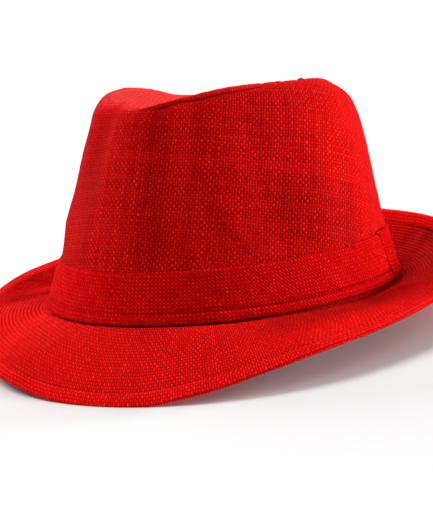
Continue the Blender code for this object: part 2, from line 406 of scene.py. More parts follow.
def half_turn(turn):
    return np.abs((turn + 180) % 360 - 180)


def unit(vectors):
    return vectors / np.maximum(np.linalg.norm(vectors, axis=-1, keepdims=True), 1e-9)


def joined(*parts):
    """Points, or places in the weave, from their parts."""
    return np.stack(np.broadcast_arrays(*parts), -1).astype(float)


def facing_up(vectors):
    return vectors * np.where(vectors[..., 2:3] < 0, -1, 1)


def wrapped(grid):
    return np.concatenate([grid, grid[:1]], 0)


def ring_turns(count):
    """Turns of a ring's columns, from the back round by the front, one under the other."""
    return -180 + 360 * np.arange(count)[:, None] / count


def picked(last, count):
    """Row numbers from 0 to last, evenly spread."""
    return np.linspace(0, last, count).round().astype(int)


def lengths(points, axis=0):
    """How long the line of points is from its first point to each of them, along that axis."""
    steps = np.linalg.norm(np.diff(points, axis=axis), axis=-1)
    start = np.zeros_like(np.take(steps, [0], axis))
    return np.concatenate([start, np.cumsum(steps, axis)], axis)


def ripple(points, size, seed):
    """A smooth random value about -1 to 1 at each point, with waves about size millimetres long."""
    draw = np.random.default_rng(seed)
    total = 0
    count = 18
    for _ in range(count):
        way = unit(draw.normal(size=3)) * 2 * math.pi / size * draw.uniform(0.6, 1.6)
        total = total + np.sin(points @ way + draw.uniform(0, 2 * math.pi))
    return total / math.sqrt(count)


def ripples(points, rows):
    return sum(depth * ripple(points, size, seed) for depth, size, seed in rows)


def base_outward(turn):
    a = np.radians(turn)
    return unit(joined(np.sin(a) / HEAD_WIDTH, -np.cos(a) / HEAD_LENGTH, 0))


def base_point(turn, grow=0.0):
    """A point of the oval where the crown meets the brim, moved out by grow."""
    a = np.radians(turn)
    point = joined(np.sin(a) * HEAD_WIDTH / 2, -np.cos(a) * HEAD_LENGTH / 2, 0)
    return point + base_outward(turn) * np.asarray(grow)[..., None]


def even_rim_height(turn):
    return CROWN_HEIGHT * lookup(RIM, "height", half_turn(turn))


def rim_height(turn):
    """Height of the tip's seam, which is lifted on the wearer's left and sags at the back on the right."""
    sag = RIM_SAG * hump(turn, RIM_SAG_TURN, RIM_SAG_SPREAD)
    lift = RIM_LIFT * eased(-10, 30, turn) * eased(120, 88, turn)
    return even_rim_height(turn) - sag + lift


def pinch_depth(away, climb):
    beyond = away - lookup(PINCH, "turn", climb)
    fore = lookup(PINCH, "fore", climb)
    aft = lookup(PINCH, "aft", climb)
    depth = PINCH_DEPTH * lookup(PINCH, "depth", climb)
    return depth * hump(beyond, 0, np.where(beyond < 0, fore, aft))


def crown_point(turn, climb):
    """A point of the crown's outer face: climb 0 is the brim, climb 1 the seam of the tip."""
    turn, climb = np.broadcast_arrays(np.asarray(turn, float), np.asarray(climb, float))
    a = np.radians(turn)
    away = half_turn(turn)
    back = eased(BACK_TURN_FROM, BACK_TURN_TO, away)
    height = 0
    lean = 0
    for side, weight in ((SIDE_FRONT, 1 - back), (SIDE_BACK, back)):
        height = height + weight * lookup(side, "height", climb)
        lean = lean + weight * lookup(side, "lean", climb)
    widening = 1 + TIP_WIDENING_FRONT * np.cos(a)
    seam = joined(np.sin(a) * widening * TIP_WIDTH / 2, TIP_SHIFT - np.cos(a) * TIP_LENGTH / 2, 0)
    base = base_point(turn)
    point = base + (seam - base) * lean[..., None]
    inward = unit((0, TIP_SHIFT, 0) - point)
    point = point + inward * pinch_depth(away, climb)[..., None]
    point[..., 2] = height * (rim_height(turn) + LEFT_RISE * np.sin(a))

    bend = np.clip((climb - ROLL_CLIMB) / (1 - ROLL_CLIMB), 0, 1) * math.pi / 2
    roll = (ROLL_LEFT + (ROLL_RIGHT - ROLL_LEFT) * eased(22, -12, turn)) * (1 - back)
    point = point + inward * (roll * (1 - np.cos(bend)))[..., None]
    point[..., 2] += 0.9 * roll * (np.sin(bend) - bend * 2 / math.pi)
    waist = WAIST * hump(point[..., 2], WAIST_HEIGHT, WAIST_REACH)
    waist = waist * eased(-35, -60, turn) * eased(-160, -130, turn)
    return point + inward * waist[..., None]


def crown_climb_at(turn, height):
    """The climb at which the crown's outer face reaches a height above the brim."""
    turn, height = np.broadcast_arrays(np.asarray(turn, float), np.asarray(height, float))
    climb = height / rim_height(turn)
    for _ in range(4):
        reached = crown_point(turn, climb)[..., 2]
        climb = climb * np.where(np.abs(reached) > 1e-6, height / np.where(reached == 0, 1, reached), 1)
    return climb


def seam_mark(turn):
    """How plainly the tip's seam shows: only along the wearer's left side of the rim."""
    return eased(-4, 14, turn) * eased(102, 94, turn)


def tip_point(turn, step):
    """A point of the tip's upper face: step 0 is its seam, and step 1 the line of the dent."""
    turn, step = np.broadcast_arrays(np.asarray(turn, float), np.asarray(step, float))
    seam = crown_point(turn, 1.0)
    along = unit(seam - crown_point(turn, SEAM_CLIMB))
    start = seam + along * 0.1
    depth = DENT_DEPTH * lookup(DENT, "depth", half_turn(turn))
    forward = 0.75 * np.cos(np.radians(turn)) + 0.25 * (1 - half_turn(turn) / 90)
    dent = joined(0, TIP_SHIFT - forward * DENT_LENGTH / 2, even_rim_height(turn) - depth)
    roll = TIP_ROLL + (TIP_ROLL_SEAM - TIP_ROLL) * seam_mark(turn)
    rise = start + along * roll[..., None]
    shoulder = rise + (dent - rise) * DENT_SHOULDER
    shoulder[..., 2] = dent[..., 2]
    s = step[..., None]
    keep = 1 - s
    return start * keep**3 + rise * 3 * keep**2 * s + shoulder * 3 * keep * s**2 + dent * s**3


def brim_point(turn, out):
    """A point of the brim's upper face: out 0 is the crown and out 1 the edge."""
    turn, out = np.broadcast_arrays(np.asarray(turn, float), np.asarray(out, float))
    away = half_turn(turn)
    for shift in records(BRIM_SHIFTS):
        away = away + shift["back"] * hump(turn, shift["turn"], shift["spread"])
    slope_in = lookup(BRIM, "slope_in", away)
    slope_out = lookup(BRIM, "slope_out", away)
    width = BRIM_WIDTH * lookup(BRIM, "width", away)
    run = 0
    rise = 0
    pieces = 12
    for k in range(pieces):
        slope = np.radians(slope_in + (slope_out - slope_in) * out * (k + 0.5) / pieces)
        run = run + np.cos(slope) * width * out / pieces
        rise = rise + np.sin(slope) * width * out / pieces
    point = base_point(turn, BRIM_LEDGE + run)
    point[..., 2] = rise + FRONT_LIFT * out**1.5 * hump(turn, FRONT_LIFT_TURN, FRONT_LIFT_SPREAD)
    return point


def band_point(turn, share, offset):
    """A point offset from the crown's outer face, at a share of the band's height."""
    turn, share = np.broadcast_arrays(np.asarray(turn, float), np.asarray(share, float))
    low = BAND_LIFT * lookup(BAND, "lift", half_turn(turn))
    high = BAND_HEIGHT * lookup(BAND, "height", half_turn(turn))
    climb = crown_climb_at(turn, low + share * (high - low))
    return crown_point(turn, climb) + base_outward(turn) * np.asarray(offset)[..., None]


def knot_turn(share):
    """The turn where the knot starts, at a share of the band's height."""
    return KNOT_TURN_LOW + (KNOT_TURN_HIGH - KNOT_TURN_LOW) * share


def creases(turn, height):
    total = 0
    for crease in records(CREASES):
        up = (height - crease["height"]) / crease["half_height"]
        side = (turn - crease["turn"] - crease["slant"] * up) / crease["half_turn"]
        total = total + crease["depth"] * np.exp(-side * side - up * up)
    return total


def crevice(turn):
    """How deep the crevice under the band is round the hat, from 0 to 1."""
    return 0.35 + 0.65 * eased(-5, 55, turn) * eased(179, 150, turn)


def normals(grid):
    """Unit normals of a grid of points whose columns close into a ring."""
    around = np.roll(grid, -1, 0) - np.roll(grid, 1, 0)
    return unit(np.cross(around, np.gradient(grid, axis=1)))


def rounded(first, last, way, count, bulge=1.0):
    """Rows that turn from the row first to the row last, bulging along way: a half circle, or flatter."""
    middle = (first + last) / 2
    reach = np.linalg.norm(first - last, axis=-1, keepdims=True) / 2 * bulge
    turns = np.linspace(0, math.pi, count + 2)[1:-1]
    rows = [middle + (first - middle) * math.cos(t) + way * reach * math.sin(t) ** bulge for t in turns]
    return np.stack(rows, 1)


def cloth_section(outer, inner, edge_rows, top_bulge=1.0):
    """A closed loop of rows: up the outer face, over its edge, down the inner face and round its foot."""
    top = rounded(outer[:, -1], inner[:, -1], unit(outer[:, -1] - outer[:, -2]), edge_rows, top_bulge)
    foot = rounded(inner[:, 0], outer[:, 0], unit(outer[:, 0] - outer[:, 1]), edge_rows)
    return np.concatenate([outer, top, inner[:, ::-1], foot], 1)


def section_uv(uv, edge, edge_rows, few=slice(None)):
    """Places in the weave for cloth_section's rows. edge is how much cloth goes round each edge."""
    way = unit(uv[:, -1] - uv[:, -2])
    back = unit(uv[:, 0] - uv[:, 1])
    shares = np.linspace(0, 1, edge_rows + 2)[1:-1]
    top = np.stack([uv[:, -1] + way * edge * t for t in shares], 1)
    foot = np.stack([uv[:, 0] + back * edge * (1 - t) for t in shares], 1)
    return np.concatenate([uv, top, uv[:, few][:, ::-1], foot], 1)


def section_shade(shade, edge_rows, few):
    """Shades for cloth_section's rows: the outer face's on the inner one too, and a plain foot."""
    top = np.repeat(shade[:, -1:], edge_rows, 1)
    return np.concatenate([shade, top, shade[:, few][:, ::-1], np.ones((len(shade), edge_rows))], 1)


def world(points):
    """Points of the drawing in metres, as the hat rests, pressed flat where they meet the floor."""
    a = math.radians(REST_TILT)
    x, y, z = np.moveaxis(points, -1, 0)
    placed = joined(x, y * math.cos(a) - z * math.sin(a), y * math.sin(a) + z * math.cos(a)) + REST_PLACE
    placed[..., 2] = np.maximum(placed[..., 2], 0)
    return placed * METRE


def faces_inward(points, faces):
    """Whether the faces of a closed piece look inward, from the volume that they hold."""
    first, *others = np.moveaxis(points[faces], 1, 0)
    volume = 0
    for a, b in zip(others, others[1:]):
        volume = volume + (np.cross(a - first, b - first) * first).sum()
    return volume < 0


def add_mesh(name, points, faces, uv, material, shade=None):
    """A piece of the hat: points (n, 3), faces (m, 4), and their corners' places in the weave (m, 4, 2).

    shade is painted light and shade at each point: 1 is plain, less is painted shade and more is a paler
    painted highlight.
    """
    if faces_inward(points, faces):
        faces = faces[:, ::-1]
        uv = uv[:, ::-1]
    if shade is None:
        shade = np.ones(len(points))
    mesh = bpy.data.meshes.new(name)
    mesh.vertices.add(len(points))
    mesh.vertices.foreach_set("co", world(points).ravel())
    mesh.loops.add(faces.size)
    mesh.loops.foreach_set("vertex_index", faces.ravel())
    mesh.polygons.add(len(faces))
    mesh.polygons.foreach_set("loop_start", np.arange(0, faces.size, 4))
    mesh.polygons.foreach_set("use_smooth", np.ones(len(faces), bool))
    mesh.uv_layers.new(name="weave").data.foreach_set("uv", uv.ravel())
    shades = mesh.attributes.new("shade", "FLOAT", "POINT")
    shades.data.foreach_set("value", shade.astype(np.float32))
    mesh.update(calc_edges=True)
    mesh.validate()
    mesh.materials.append(material)
    obj = bpy.data.objects.new(name, mesh)
    bpy.context.scene.collection.objects.link(obj)
    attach(obj, "root")
    return obj


def cells(grid, rows):
    """The four corners of each cell of a grid that takes these rows of it, in order round the cell."""
    low = grid[:, rows[:-1]]
    high = grid[:, rows[1:]]
    return np.stack([low[:-1], low[1:], high[1:], high[:-1]], 2)


def add_loop_grid(name, grid, uv, ring, material, shade):
    """A closed piece from a grid whose rows close into a loop. Its ends get caps if its columns don't."""
    columns, rows = grid.shape[:2]
    index = np.arange(columns * rows).reshape(columns, rows)
    loop = np.append(np.arange(rows), 0)
    faces = cells(wrapped(index) if ring else index, loop).reshape(-1, 4)
    places = cells(uv, loop).reshape(-1, 4, 2)
    if not ring:
        steps = np.arange(rows // 2)
        near = (rows - CAP_ROWS // 2 + steps) % rows
        far = (rows - CAP_ROWS // 2 - 1 - steps) % rows
        cap = np.stack([near[:-1], near[1:], far[1:], far[:-1]], -1)
        faces = np.concatenate([faces, cap, cap[:, ::-1] + (columns - 1) * rows])
        places = np.concatenate([places, uv[0][cap], uv[-1][cap[:, ::-1]]])
    return add_mesh(name, grid.reshape(-1, 3), faces, places, material, shade.ravel())


def round_length(face, repeat):
    """The length round the middle row at each column, stretched so that the weave ends where it began."""
    length = lengths(wrapped(face[:, face.shape[1] // 2]))
    return length * repeat * round(length[-1] / repeat) / length[-1]


def turned(places, degrees):
    """Places in the weave, turned so that its yarns run at that angle."""
    a = math.radians(degrees)
    u, v = places[..., 0], places[..., 1]
    return joined(u * math.cos(a) + v * math.sin(a), v * math.cos(a) - u * math.sin(a))


def distance(a, b):
    return np.linalg.norm(a - b)


def third_corner(a, b, to_a, to_b, side):
    """The flat point at the distances to_a and to_b from a and b, on that side of the line between them."""
    long = distance(a, b)
    line = (b - a) / long
    along = (to_a**2 - to_b**2 + long**2) / (2 * long)
    off = math.sqrt(max(to_a**2 - along**2, 0))
    return a + line * along + np.array([-line[1], line[0]]) * off * side


def unroll(low, high):
    """Lays the strip between two closed rows of points flat, from its front both ways round."""
    flat_low = np.zeros((len(low), 2))
    flat_high = np.zeros((len(low), 2))
    start = len(low) // 2
    flat_high[start] = (0, distance(high[start], low[start]))
    for step in (1, -1):
        k = start
        while 0 <= k + step < len(low):
            m = k + step
            a, b = flat_low[k], flat_high[k]
            flat_low[m] = third_corner(a, b, distance(low[m], low[k]), distance(low[m], high[k]), -step)
            a = flat_low[m]
            flat_high[m] = third_corner(a, b, distance(high[m], low[m]), distance(high[m], high[k]), -step)
            k = m
    return flat_low, flat_high


# Materials


def new_material(name):
    material = bpy.data.materials.new(name)
    material.use_nodes = True
    return material, material.node_tree, material.node_tree.nodes["Principled BSDF"]


def plug(made, inputs):
    """Sets or links inputs of a node, each by name or number."""
    for key, value in inputs:
        if isinstance(value, bpy.types.NodeSocket):
            made.id_data.links.new(value, made.inputs[key])
        else:
            made.inputs[key].default_value = value


def node(tree, kind, settings=(), inputs=()):
    made = tree.nodes.new(kind)
    for key, value in settings:
        setattr(made, key, value)
    plug(made, inputs)
    return made


def maths(tree, operation, *values):
    return node(tree, "ShaderNodeMath", [("operation", operation)], enumerate(values)).outputs[0]


def times(tree, a, b):
    return maths(tree, "MULTIPLY", a, b)


def ramp(tree, value, start, end, low=0, high=1, kind="SMOOTHSTEP"):
    """A change from low to high as the value goes from start to end."""
    inputs = [("Value", value), ("From Min", start), ("From Max", end), ("To Min", low), ("To Max", high)]
    return node(tree, "ShaderNodeMapRange", [("interpolation_type", kind)], inputs).outputs[0]


def noise(tree, place, scale, detail, roughness=0.5):
    inputs = [("Vector", place), ("Scale", scale), ("Detail", detail), ("Roughness", roughness)]
    return node(tree, "ShaderNodeTexNoise", [("noise_dimensions", "2D")], inputs)


def mixed(tree, share, first, second, clamp=True):
    """A colour between the first and the second, which may be colours or sockets."""
    settings = [("data_type", "RGBA"), ("clamp_factor", clamp)]
    inputs = [("Factor", share), ("A", first), ("B", second)]
    return node(tree, "ShaderNodeMix", settings, inputs).outputs["Result"]


def drawn(tree, dimensions, key, value):
    """A random number from 0 to 1 for each value."""
    settings = [("noise_dimensions", dimensions)]
    return node(tree, "ShaderNodeTexWhiteNoise", settings, [(key, value)]).outputs[0]


def weave_place(tree):
    return node(tree, "ShaderNodeUVMap", [("uv_map", "weave")]).outputs[0]


def bumped(tree, height, up):
    inputs = [("Height", height), ("Strength", 1.0), ("Distance", up * METRE)]
    return node(tree, "ShaderNodeBump", (), inputs).outputs[0]


def yarn_counts(tree, place, yarn):
    """How many yarns lie before each place, both ways, along lines that wander and shake a little."""
    parts = node(tree, "ShaderNodeSeparateXYZ", (), [(0, place)])
    moves = []
    for reach, *look in YARN_MOVES:
        texture = noise(tree, place, *look).outputs["Color"]
        moves.append((node(tree, "ShaderNodeSeparateColor", (), [(0, texture)]), reach))
    counts = []
    for way in range(2):
        count = parts.outputs[way]
        for move, reach in moves:
            count = maths(tree, "MULTIPLY_ADD", move.outputs[way], reach, count)
        counts.append(maths(tree, "DIVIDE", count, yarn[way]))
    return counts


def yarn_shade(tree, count, along, seed):
    """Each yarn's own shade, with thick and thin stretches along it."""
    number = maths(tree, "FLOOR", count)
    own = drawn(tree, "1D", "W", maths(tree, "ADD", number, seed))
    parts = [(0, times(tree, along, 0.16)), (1, number)]
    stretch = node(tree, "ShaderNodeCombineXYZ", (), parts)
    slub = noise(tree, stretch.outputs[0], 1.7, 2.0).outputs[0]
    return maths(tree, "ADD", times(tree, own, 0.5), times(tree, slub, 0.9))


def painted_float_highlights(tree, place, counts, full, over, shade):
    """Painted highlights: pale strokes where the yarns of one way lie on top, each more or less plain, and
    weak in patches.
    """
    floors = [(way, maths(tree, "FLOOR", counts[way])) for way in range(2)]
    cell = node(tree, "ShaderNodeCombineXYZ", (), floors).outputs[0]
    chance = drawn(tree, "2D", "Vector", cell)
    patch = noise(tree, place, 0.22, 3.0, 0.7).outputs[0]
    chance = times(tree, chance, ramp(tree, patch, 0.34, 0.62, 0.45, 1.35))
    chance = times(tree, chance, maths(tree, "MULTIPLY_ADD", shade, 1.1, 0.2))
    float_highlight = times(tree, ramp(tree, full, 0.25, 0.95), ramp(tree, over, -0.35, 0.60))
    return times(tree, float_highlight, maths(tree, "MULTIPLY_ADD", chance, 0.34, 0.14))


def weave_material(cloth):
    """Plain weave over the map called weave: yarns with their own shade, painted shade in the gaps between
    them, and painted highlights where they lie on top.
    """
    material, tree, shader = new_material(cloth["name"])
    place = weave_place(tree)
    a, b = yarn_counts(tree, place, cloth["yarn"])
    sin_a, sin_b = (maths(tree, "SINE", times(tree, count, math.pi)) for count in (a, b))
    over_a = times(tree, maths(tree, "SIGN", sin_a), sin_b)
    over_b = times(tree, maths(tree, "SIGN", sin_b), sin_a)
    full_a, full_b = (maths(tree, "ABSOLUTE", value) for value in (sin_a, sin_b))
    highs = []
    for full, over, gain in ((full_a, over_a, 0.42), (full_b, over_b, -0.42)):
        body = maths(tree, "POWER", full, 0.6)
        highs.append(times(tree, body, maths(tree, "MULTIPLY_ADD", over, gain, 0.58)))
    height = maths(tree, "MAXIMUM", *highs)
    on_top = maths(tree, "GREATER_THAN", *highs)
    shade_a = yarn_shade(tree, a, b, 11.5)
    shade_b = yarn_shade(tree, b, a, 512.5)
    under = times(tree, shade_b, maths(tree, "SUBTRACT", 1.0, on_top))
    shade = maths(tree, "ADD", times(tree, shade_a, on_top), under)
    fibre = noise(tree, place, 3.1, 3.0, 0.7).outputs[0]
    cloud = noise(tree, place, 0.035, 4.0, 0.62).outputs[0]
    float_highlight = painted_float_highlights(tree, place, (a, b), full_a, over_a, shade_a)
    # The shade attribute: painted shade below 1 and painted light above it.
    painted_light_and_shade = node(tree, "ShaderNodeAttribute", [("attribute_name", "shade")]).outputs["Fac"]

    # How light the colour is: painted shade in the gaps and where a yarn dives under, painted highlights on
    # the yarns on top, changed by yarn, fibres and place, and by the painted light and shade of the shade
    # attribute.
    gap = cloth["dark"] - 1
    crest = cloth["crest"]
    change = cloth["change"]
    light = maths(tree, "ADD", ramp(tree, full_a, 0, 0.85, gap, 0), ramp(tree, full_b, 0, 0.75, gap, 0))
    light = maths(tree, "ADD", light, ramp(tree, over_a, -0.9, 0, -0.10 * crest, 0))
    light = maths(tree, "ADD", light, maths(tree, "MULTIPLY_ADD", float_highlight, 0.45 * crest, cloth["ground"]))
    changes = ((shade, 2 * change, 1 - 1.4 * change), (fibre, 0.3, 0.85), (cloud, 0.24, 0.88))
    for value, gain, least in changes:
        light = times(tree, light, maths(tree, "MULTIPLY_ADD", value, gain, least))
    light = times(tree, light, painted_light_and_shade)
    highlight_hue = (part + more for part, more in zip(cloth["colour"], HIGHLIGHT_TINT))
    highlight_share = maths(tree, "ADD", float_highlight, ramp(tree, painted_light_and_shade, 1.2, 1.5))
    hue = mixed(tree, highlight_share, (*cloth["colour"], 1), (*highlight_hue, 1))
    relief = maths(tree, "ADD", height, times(tree, fibre, 0.22))
    inputs = [
        ("Base Color", mixed(tree, light, (0, 0, 0, 1), hue, clamp=False)),
        ("Roughness", ramp(tree, height, 0.2, 1, 0.95, 0.72, "LINEAR")),
        ("Normal", bumped(tree, relief, WEAVE_BUMP)),
        ("Specular IOR Level", cloth["gloss"]),
        ("Sheen Weight", cloth["sheen"]),
        ("Sheen Roughness", 0.4),
        ("Sheen Tint", (1.0, 0.4, 0.36, 1.0)),
    ]
    plug(shader, inputs)
    return material


def thread_material():
    material, tree, shader = new_material("thread")
    inputs = [("Vector", weave_place(tree)), ("Scale", 0.9), ("Distortion", 1.0)]
    twist = node(tree, "ShaderNodeTexWave", [("bands_direction", "DIAGONAL")], inputs).outputs[1]
    light = maths(tree, "MULTIPLY_ADD", twist, 0.4, 0.65)
    inputs = [
        ("Base Color", mixed(tree, light, (0, 0, 0, 1), (*THREAD_COLOUR, 1))),
        ("Normal", bumped(tree, twist, THREAD_BUMP)),
        ("Roughness", 0.8),
        ("Specular IOR Level", 0.02),
    ]
    plug(shader, inputs)
    return material


# Crown


def crown_relief(turn, rows, face, below):
    """How far the crown's cloth stands out: uneven, creased, and drawn in at its seams."""
    height = face[..., 2]
    above_band = eased(14, 34, height)
    calm = above_band * (1 - 0.7 * eased(0.93, 1.0, rows))
    return (
        ripples(face, CROWN_RIPPLES) * calm
        - creases(turn, height) * above_band
        - 0.45 * hump(np.abs(turn), 180, 0.7)
        - 0.55 * seam_mark(turn) * hump(below, 1.5, 0.8)
    )


def crown_shade(turn, height, below):
    """Painted light and shade on the crown: a painted highlight over the rim, a painted shadow under the
    welt, and painted shade or light in a few places.
    """
    reach = RIM_HIGHLIGHT_REACH * eased(10, -30, turn) * eased(-175, -120, turn) + 0.01
    return (
        1
        # Painted highlight over the rim in front and on the right.
        + RIM_HIGHLIGHT * eased(1.25, 0.1, below / reach) * eased(12, -6, turn) * eased(-175, -150, turn)
        # Painted shadow under the welt along the left.
        - 0.45 * seam_mark(turn) * hump(below, 0.9, 0.75)
        # Painted shade low on the left side, in the pinch's crease, and on the front right above the band.
        - 0.17 * eased(75, 40, height) * eased(40, 58, turn) * eased(100, 84, turn)
        - 0.20 * hump(turn, 17, 8) * hump(height, 38, 16)
        - 0.12 * hump(turn, -24, 12) * eased(34, 60, height) * eased(104, 88, height)
        # Painted light high on the left side, towards the back.
        + 0.08 * eased(72, 100, turn) * eased(150, 125, turn) * eased(40, 75, height)
    )


def crown_uv(face, run):
    """The crown's cloth laid flat as a cone, and partly kept level round the hat."""
    closed = wrapped(face)
    low, high = unroll(closed[:, 0], closed[:, -1])
    share = wrapped(run / run[:, -1:])
    flat = low[:, None] + (high - low)[:, None] * share[..., None]
    around = round_length(face, 2 * YARN[0])
    around = around - around[len(face) // 2]
    level = joined(around[:, None], wrapped(run))
    return flat * (1 - CROWN_LEVEL) + level * CROWN_LEVEL


def make_crown_side(material):
    turn = ring_turns(AROUND)
    rows = np.concatenate([np.linspace(0.004, 0.90, 78), np.linspace(0.908, 1.0, 18)])[None]
    face = crown_point(turn, rows)
    out = normals(face)
    run = lengths(face, 1)
    below = run[:, -1:] - run
    relief = crown_relief(turn, rows, face, below)[..., None]
    few = picked(face.shape[1] - 1, 14)
    inner = (face - out * CROWN_CLOTH + out * 0.5 * relief)[:, few]
    edge_rows = 5
    grid = cloth_section(face + out * relief, inner, edge_rows, top_bulge=0.3)
    tuck = (1 - eased(0.5, SEAM_TUCK_HEIGHT, grid[..., 2])) * crevice(turn)
    grid = grid - base_outward(turn) * (SEAM_TUCK * tuck)[..., None]
    grid[..., 2] -= SEAM_DIP * tuck
    uv = section_uv(crown_uv(face, run), CROWN_CLOTH * 1.5, edge_rows, few)
    shade = section_shade(crown_shade(turn, face[..., 2], below), edge_rows, few)
    side = add_loop_grid("crown_side_cloth", grid, uv, True, material, shade)
    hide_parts("crown_side")


def tip_faces(section):
    """The tip's faces, whose two halves share the dent's line, and the places of their corners."""
    columns, rows = section.shape[:2]
    index = np.arange(columns * rows).reshape(columns, rows)
    mirror = np.minimum(np.arange(columns), columns - np.arange(columns))
    index[:, 0] = index[mirror, 0]
    index[:, -1] = index[mirror, -1]
    faces = cells(wrapped(index), np.arange(rows)).reshape(-1, 4)
    places = cells(wrapped(turned(section[..., :2], TIP_GRAIN)), np.arange(rows)).reshape(-1, 4, 2)
    outward = (0, 3, 2, 1)
    return faces[:, outward], places[:, outward]


def make_crown_tip(material):
    turn = ring_turns(TIP_AROUND)
    step = np.concatenate([np.linspace(0, 0.14, 14), np.linspace(0.16, 1, 56)])[None]
    face = tip_point(turn, step)
    out = facing_up(-normals(face))
    middle = eased(0.86, 0.985, step)
    relief = ripples(face, TIP_RIPPLES) * eased(0, 0.15, step)
    relief = relief - 0.7 * seam_mark(turn) * hump(lengths(face, 1), 2.2, 0.8)
    relief = relief * (1 - middle)
    out = unit(out * (1 - middle[..., None]) + (0, 0, 1) * middle[..., None])
    outer = face + out * relief[..., None]
    inner = outer - out * CROWN_CLOTH
    edge_rows = 4
    edge = rounded(inner[:, 0], outer[:, 0], unit(outer[:, 0] - outer[:, 1]), edge_rows, 0.3)
    section = np.concatenate([inner[:, ::-1], edge, outer], 1)
    faces, uv = tip_faces(section)
    used, faces = np.unique(faces, return_inverse=True)
    points = section.reshape(-1, 3)[used]
    tip = add_mesh("crown_tip_cloth", points, faces.reshape(-1, 4), uv, material)
    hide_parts("crown_tip")

    steps_in = np.concatenate([step[0][::-1], np.zeros(edge_rows), step[0]])
    group = tip.vertex_groups.new(name="dent")
    for k, weight in enumerate(eased(0.35, 0.9, steps_in)):
        if weight > 0:
            group.add(np.flatnonzero(used % len(steps_in) == k).tolist(), weight, "REPLACE")
    smooth = tip.modifiers.new("soften_dent", "SMOOTH")
    smooth.factor = 0.6
    smooth.iterations = 60
    smooth.vertex_group = group.name


def make_welt(material):
    """The seam round the tip: a roll of cloth that stands a little over both panels."""
    turn = ring_turns(WELT_AROUND)[:, 0]
    seam = crown_point(turn, 1.0)
    along = unit(seam - crown_point(turn, SEAM_CLIMB))
    out = unit(np.cross(np.roll(seam, -1, 0) - np.roll(seam, 1, 0), along))
    mark = seam_mark(turn)[:, None]
    radius = lookup(WELT, "radius", np.maximum(turn, 0)) * (1 + ripples(seam, WELT_RIPPLES))
    centre = seam + along * (0.4 + 0.3 * mark) - out * (0.75 - 0.75 * mark)
    sides = 12
    angle = 2 * math.pi * np.arange(sides) / sides
    up = np.sin(angle)[None]
    reach = np.cos(angle)[None, :, None] * out[:, None] + 1.15 * up[..., None] * along[:, None]
    grid = centre[:, None] + radius[:, None, None] * reach
    uv = joined(lengths(wrapped(seam))[:, None], angle[None])
    # Painted highlight on the welt's outer face and painted shade along its top, on the left; the bead at
    # its end is darker.
    shade = 1 + mark * (0.35 * eased(-0.3, 0.2, up) * eased(0.98, 0.8, up) - 0.5 * eased(0.85, 1.0, up))
    shade = shade - 0.6 * hump(turn, BEAD_TURN, 2.5)[:, None]
    add_loop_grid("crown_seam_welt", grid, uv, True, material, shade)


# Brim


def brim_face(turn, outs):
    """The brim's upper face with the seam that dips under the band, and each row's share of the way out."""
    run = np.linspace(-CROWN_CLOTH - SEAM_TUCK - 1, BRIM_LEDGE - 0.3, SEAM_ROWS)
    face = np.concatenate([base_point(turn, run[None]), brim_point(turn, outs[None])], 1)
    from_seam = np.concatenate([run, BRIM_LEDGE + BRIM_WIDTH * outs])
    face[..., 2] -= (SEAM_DIP * crevice(turn) + 0.1) * eased(BRIM_LEDGE + 1.2, -0.4, from_seam)
    return face, np.concatenate([np.zeros(SEAM_ROWS), outs])[None]


def brim_shade(turn, out_share, edge, ridges, back_left, painted_patch_shade):
    """Painted shade beside the ridges, in patches at the back and by the band on the left, a painted shadow
    inside the hem at the back, and painted light beside the knot; a little lighter over the hem, with a pale
    line along its inner edge and a darker line just inside it.
    """
    from_hem = edge - HEM_WIDTH
    return (
        1
        - 0.16 * ridges
        - painted_patch_shade
        - 0.25 * back_left * hump(from_hem, 1.0, 1.0)
        # Painted shadow on the brim by the band on the left.
        - 0.44 * eased(0.76, 0.28, out_share) * eased(25, 66, turn) * eased(110, 84, turn)
        # Painted light in the pocket beside the knot.
        + 0.30 * eased(1.0, 0.45, out_share) * hump(turn, 108, 12)
        + 0.10 * eased(0, -1, from_hem)
        + 0.16 * hump(from_hem, -0.3, 0.5)
        - 0.14 * hump(from_hem, 0.9, 0.55)
    )


